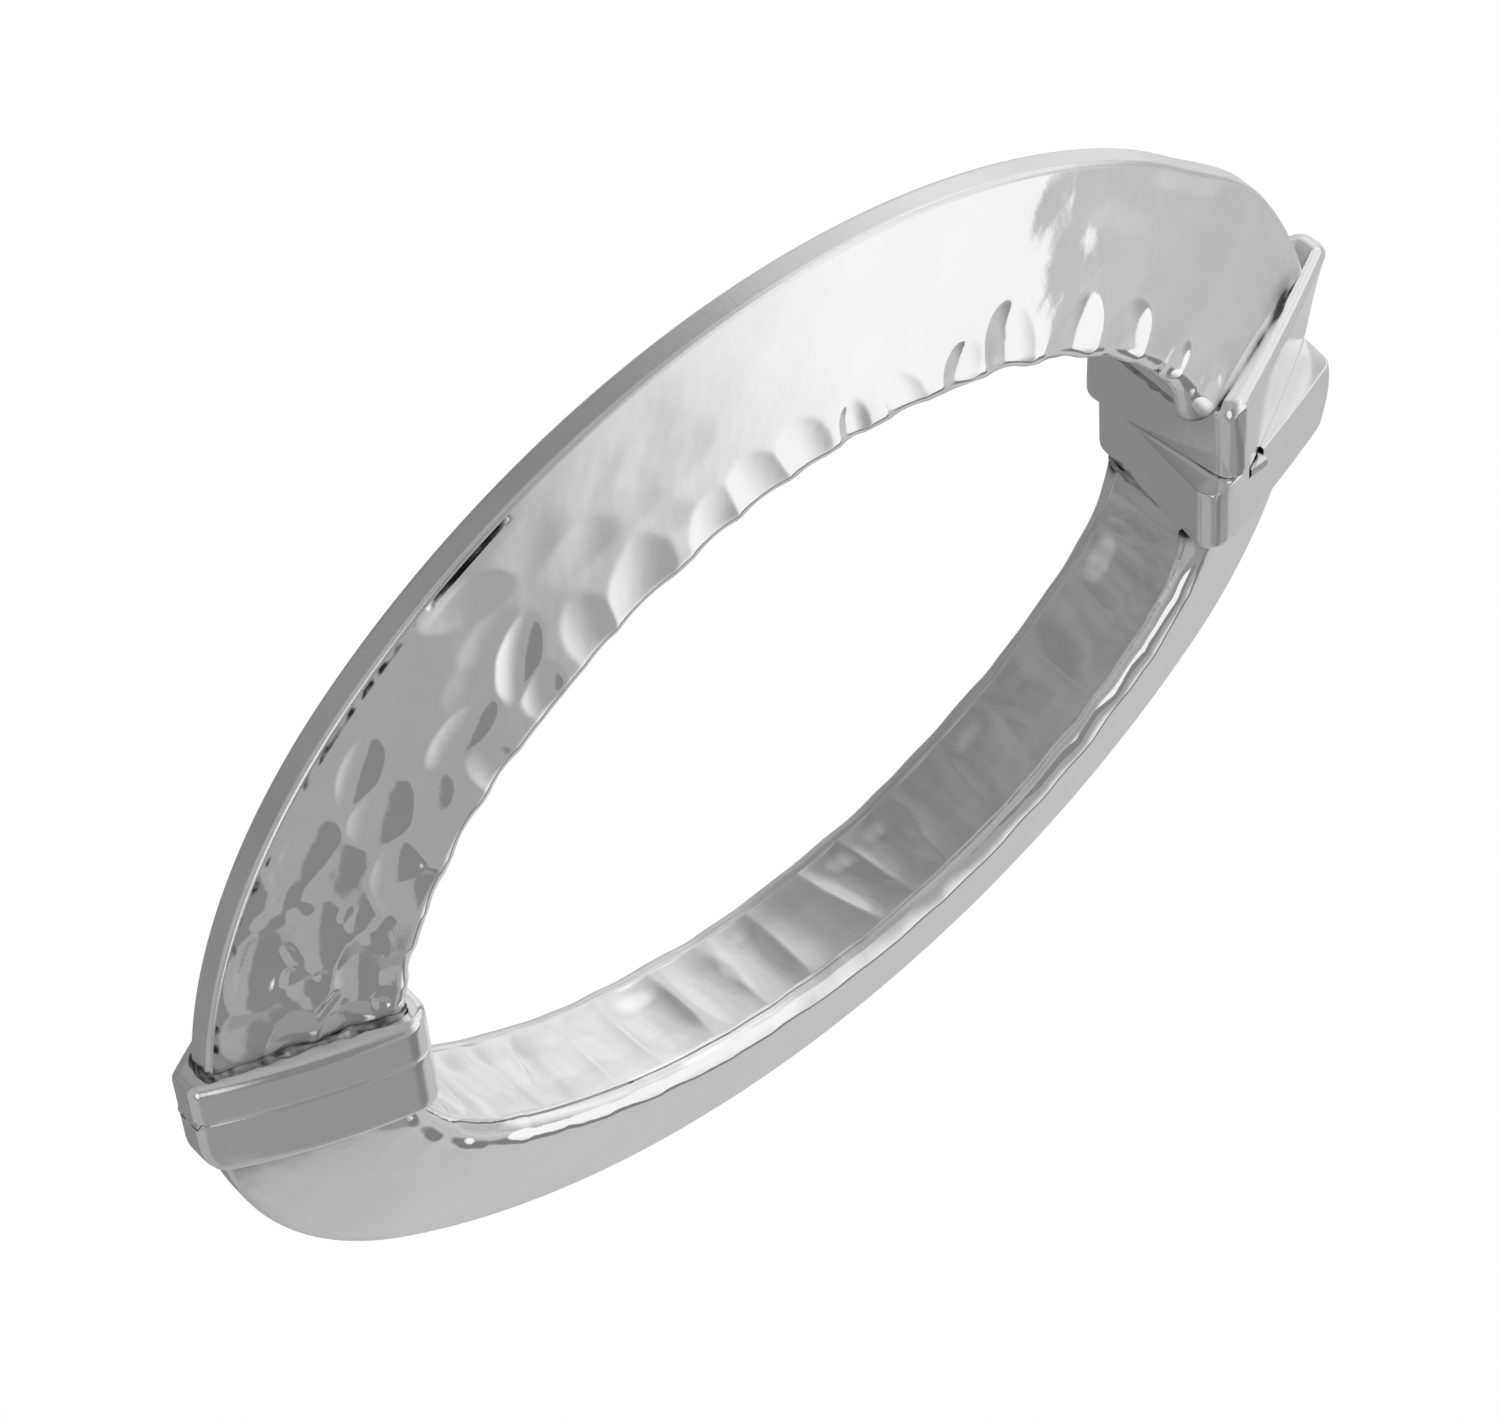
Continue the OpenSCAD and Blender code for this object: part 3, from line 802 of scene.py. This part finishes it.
def circle(x, y, radius):
    angles = [2 * math.pi * i / CIRCLE_STEPS for i in range(CIRCLE_STEPS)]
    return [(x + radius * math.cos(a), y + radius * math.sin(a)) for a in angles]


def groove_cuts(obj, side):
    """Cuts a hinge collar round its own knuckles, clear of the other half's, and away where it swings."""
    own = circle(HINGE_X, 0, KNUCKLE_RADIUS)
    loose = circle(HINGE_X, 0, KNUCKLE_RADIUS + GROOVE_ROOM)
    cut(obj, prism(own, -KNUCKLE_HALF, KNUCKLE_HALF))
    if side == TONGUE:
        middle = MIDDLE_KNUCKLE_HALF + SIDE_ROOM
        cut(obj, prism(loose, -middle, middle))
    else:
        outermost = KNUCKLE_HALF + SIDE_ROOM
        cut(obj, prism(loose, MIDDLE_KNUCKLE_HALF, outermost))
        cut(obj, prism(loose, -outermost, -MIDDLE_KNUCKLE_HALF))
    far_x = HINGE_X + RELIEF_REACH
    front = -PAST_FRONT * side
    far_y = side * RELIEF_REACH * math.tan(RELIEF_ANGLE)
    wedge = [(HINGE_X, front), (HINGE_X, 0), (far_x, far_y), (far_x, front)]
    cut(obj, prism(wedge, -RELIEF_HALF, RELIEF_HALF))


def notch_cut(obj):
    """Cuts the tab's notch in the top of the box's clasp collar."""
    left, right = TAB_X - NOTCH_HALF, TAB_X + NOTCH_HALF
    outline = [(left, -PAST_FRONT), (right, -PAST_FRONT), (right, NOTCH_DEPTH), (left, NOTCH_DEPTH)]
    cut(obj, prism(outline, 0, NOTCH_TOP))


for side in (TONGUE, BOX):
    groove_cuts(collar(side, HINGE), side)
collar(TONGUE, CLASP)
notch_cut(collar(BOX, CLASP))


# ---- Solder round the joints between the sheets and the collars ----

# A bead follows every third point of the section, sunk a little into the sheets and into the collar
BEAD_SIDES = 10
BEAD_SKIP = 3
BEAD_SINK = 0.05
BEAD_OVERLAP = 0.12
# How lumpy a bead is, and how many lumps of each size go round it
BEAD_LUMPINESS = 0.45
LUMPS_ROUND = (3, 7, 13, 22, 31)


def solder_bead(side, end, radius, spread, darkness):
    """A lumpy fillet of solder: spread is how much wider than high it is, darkness how tarnished."""
    upper = section_profile(side, "face")
    outline = section_profile(side, "band") + upper + section_profile(side, "rim") + mirrored(upper)
    outline = outline[::BEAD_SKIP]
    rng = np.random.default_rng(20 + 7 * side + end)
    place = np.linspace(0, 2 * math.pi, len(outline), endpoint=False)
    lumps = sum(rng.uniform(0.4, 1) * np.cos(k * place + rng.uniform(0, 6)) for k in LUMPS_ROUND) / 3
    points = []
    for (point, normal), lump in zip(outline, lumps):
        angle = np.array([end_angles(side, point[0], -BEAD_OVERLAP)[0 if end == HINGE else 1]])
        thickness = radius * (1 + BEAD_LUMPINESS * lump)
        for k in range(BEAD_SIDES):
            a = 2 * math.pi * k / BEAD_SIDES
            height, z = point + normal * (thickness * math.cos(a) - BEAD_SINK)
            x, y = ring_curve(side, angle, np.array([height]))
            sideways = side * thickness * spread * math.sin(a)
            points.append((x[0] + SEAM_X, y[0] + sideways + SEAM_Y, z + MID_Z))
    faces = loop_faces(len(outline), BEAD_SIDES, closed=True)
    bead = mesh_object(f"{BODY[side]}_{end_word(end)}_solder", points, faces, SOLDER)
    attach(bead, BODY[side])
    set_patina_and_shade(bead, [darkness * rng.uniform(0.4, 1.1) for _ in points])


solder_bead(TONGUE, HINGE, radius=0.28, spread=1.6, darkness=0.9)
solder_bead(BOX, HINGE, radius=0.2, spread=1.0, darkness=0.5)
solder_bead(TONGUE, CLASP, radius=0.2, spread=1.2, darkness=0.6)
solder_bead(BOX, CLASP, radius=0.24, spread=1.2, darkness=0.5)


# ---- Floor and light ----

FLOOR_SIZE = 6
FLOOR_DROP = 0.00005


def make_floor():
    """A white floor that only the camera sees."""
    bpy.ops.mesh.primitive_plane_add(size=FLOOR_SIZE, location=(0, 0, -FLOOR_DROP))
    floor = bpy.context.object
    floor.name = "floor"
    material, nodes, links = new_material("floor")
    nodes.clear()
    out = nodes.new("ShaderNodeOutputMaterial")
    glow = nodes.new("ShaderNodeEmission")
    glow.inputs["Color"].default_value = (1, 1, 1, 1)
    glow.inputs["Strength"].default_value = 1.0
    links.new(glow.outputs["Emission"], out.inputs["Surface"])
    floor.data.materials.append(material)
    floor.visible_glossy = False
    floor.visible_diffuse = False
    floor.visible_shadow = False


make_floor()


def make_world():
    """The room that the silver reflects: a grey level for each direction, white to the camera itself."""
    world = bpy.data.worlds.new("studio")
    bpy.context.scene.world = world
    world.use_nodes = True
    tree = world.node_tree
    tree.nodes.clear()
    m = Maths(tree)
    coords = tree.nodes.new("ShaderNodeTexCoord")
    split = tree.nodes.new("ShaderNodeSeparateXYZ")
    tree.links.new(coords.outputs["Generated"], split.inputs[0])
    x, y, z = split.outputs
    # Softbox overhead: bright towards the clasp, a crisp step down past the middle, and a strip beyond it
    towards_clasp = m.step(x, -0.50, -0.02, at_low=0.97, at_high=0.38)
    step_down = m.step(x, 0.13, 0.16, at_low=1.0, at_high=0.64)
    strip = m.step(x, 0.40, 0.44, at_high=0.7)
    softbox = m.op("ADD", m.op("MULTIPLY", towards_clasp, step_down), strip)
    # Behind the bangle, a grey backdrop with a dark gap between it and the softbox
    backdrop = m.step(x, -0.2, 0.25, at_low=0.54, at_high=0.42)
    gap = m.op("ADD", m.step(x, -0.66, -0.5, at_low=0.36, at_high=0.0),
               m.step(x, -0.1, 0.05, at_low=0.22, at_high=0.31))
    # In front and below, light that comes from the clasp's side
    front = m.step(x, -0.65, -0.2, at_low=0.92, at_high=0.4)
    floor_light = m.step(x, -0.8, -0.05, at_low=0.76, at_high=0.26)
    is_softbox = m.step(z, 0.655, 0.668)
    is_gap = m.step(z, 0.40, 0.5)
    is_behind = m.step(y, -0.25, 0.1)
    is_below = m.step(z, -0.36, -0.26, at_low=1.0, at_high=0.0)
    walls = m.mix(is_behind, front, m.mix(is_gap, backdrop, gap))
    light = m.mix(is_below, m.mix(is_softbox, walls, softbox), floor_light)
    # The walls and the floor vary softly, the softbox and the far side don't
    room = tree.nodes.new("ShaderNodeTexNoise")
    room.inputs["Scale"].default_value = 3.2
    room.inputs["Detail"].default_value = 2.5
    tree.links.new(coords.outputs["Generated"], room.inputs["Vector"])
    variation = m.step(room.outputs["Fac"], 0.3, 0.7, at_low=0.85, at_high=1.15)
    is_calm = m.op("MAXIMUM", m.step(y, 0.3, 0.75), is_softbox)
    light = m.op("MULTIPLY", light, m.mix(is_calm, variation, 1.0))
    path = tree.nodes.new("ShaderNodeLightPath")
    light = m.mix(path.outputs["Is Camera Ray"], light, 1.0)
    background = tree.nodes.new("ShaderNodeBackground")
    tree.links.new(light, background.inputs["Color"])
    out = tree.nodes.new("ShaderNodeOutputWorld")
    tree.links.new(background.outputs[0], out.inputs["Surface"])


make_world()
bpy.context.scene.view_settings.view_transform = "Standard"
